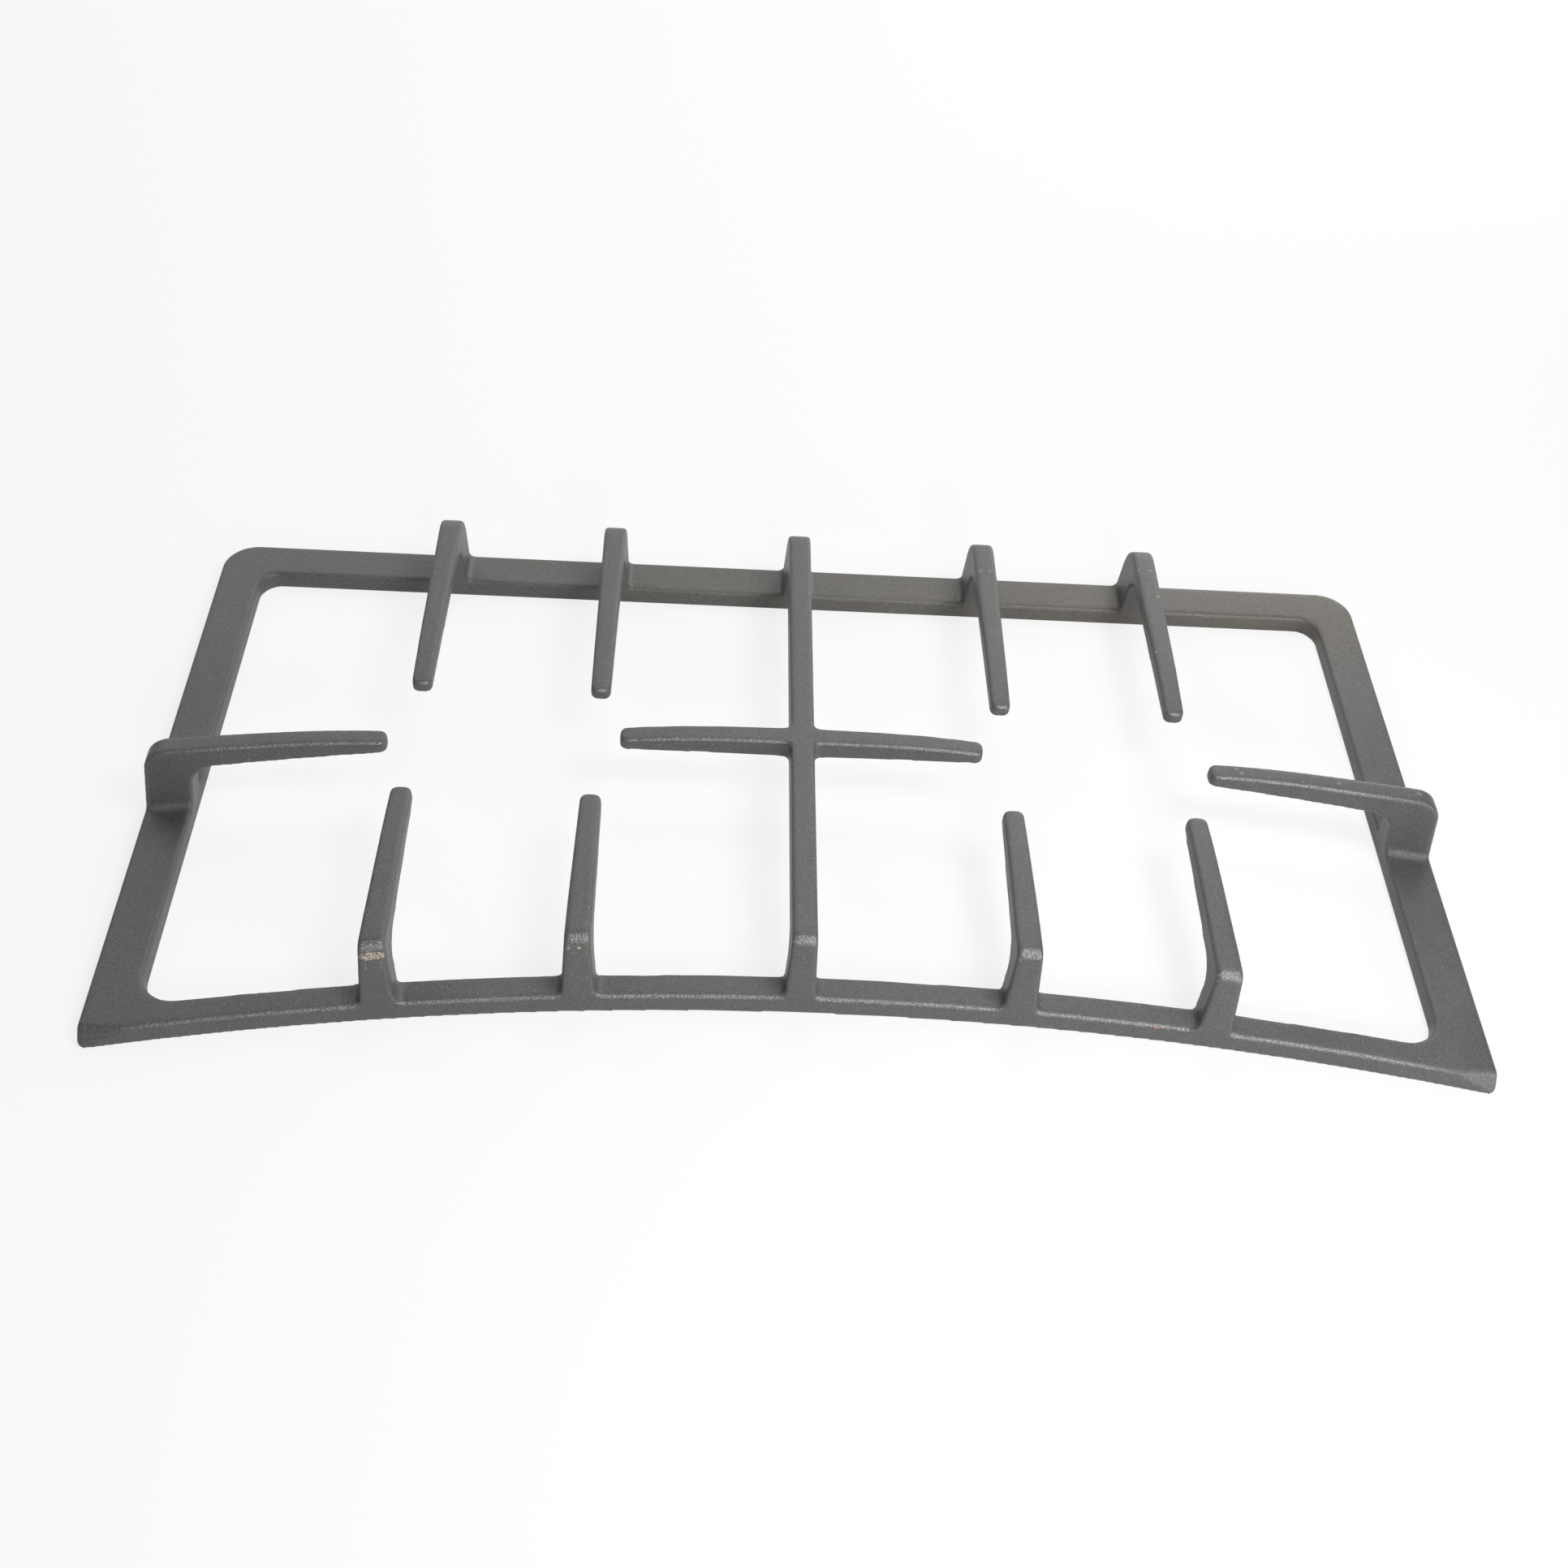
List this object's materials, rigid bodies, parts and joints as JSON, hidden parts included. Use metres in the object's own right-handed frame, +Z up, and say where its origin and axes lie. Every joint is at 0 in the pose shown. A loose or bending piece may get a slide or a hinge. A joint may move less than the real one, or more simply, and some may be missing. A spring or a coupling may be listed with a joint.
{
  "type": "hob pan support",
  "caption": "Cast-iron pan support for a gas hob: a flat ring with a bowed front bar and raised fingers that reach in from legs to carry pans over the burners.",
  "frame": {"origin": "middle of the underside of the part's bounding box", "axes": "+X along the length, +Y towards the straight rear bar, +Z up to the plane the pans rest on"},
  "size_m": [0.48, 0.2476, 0.035],
  "materials": {
    "casting": "matt dark grey enamel over a fine sand-cast grain, worn lighter on the rounded edges"
  },
  "bodies": {
    "root": {"pan_support": "casting"}
  },
  "joints": []
}
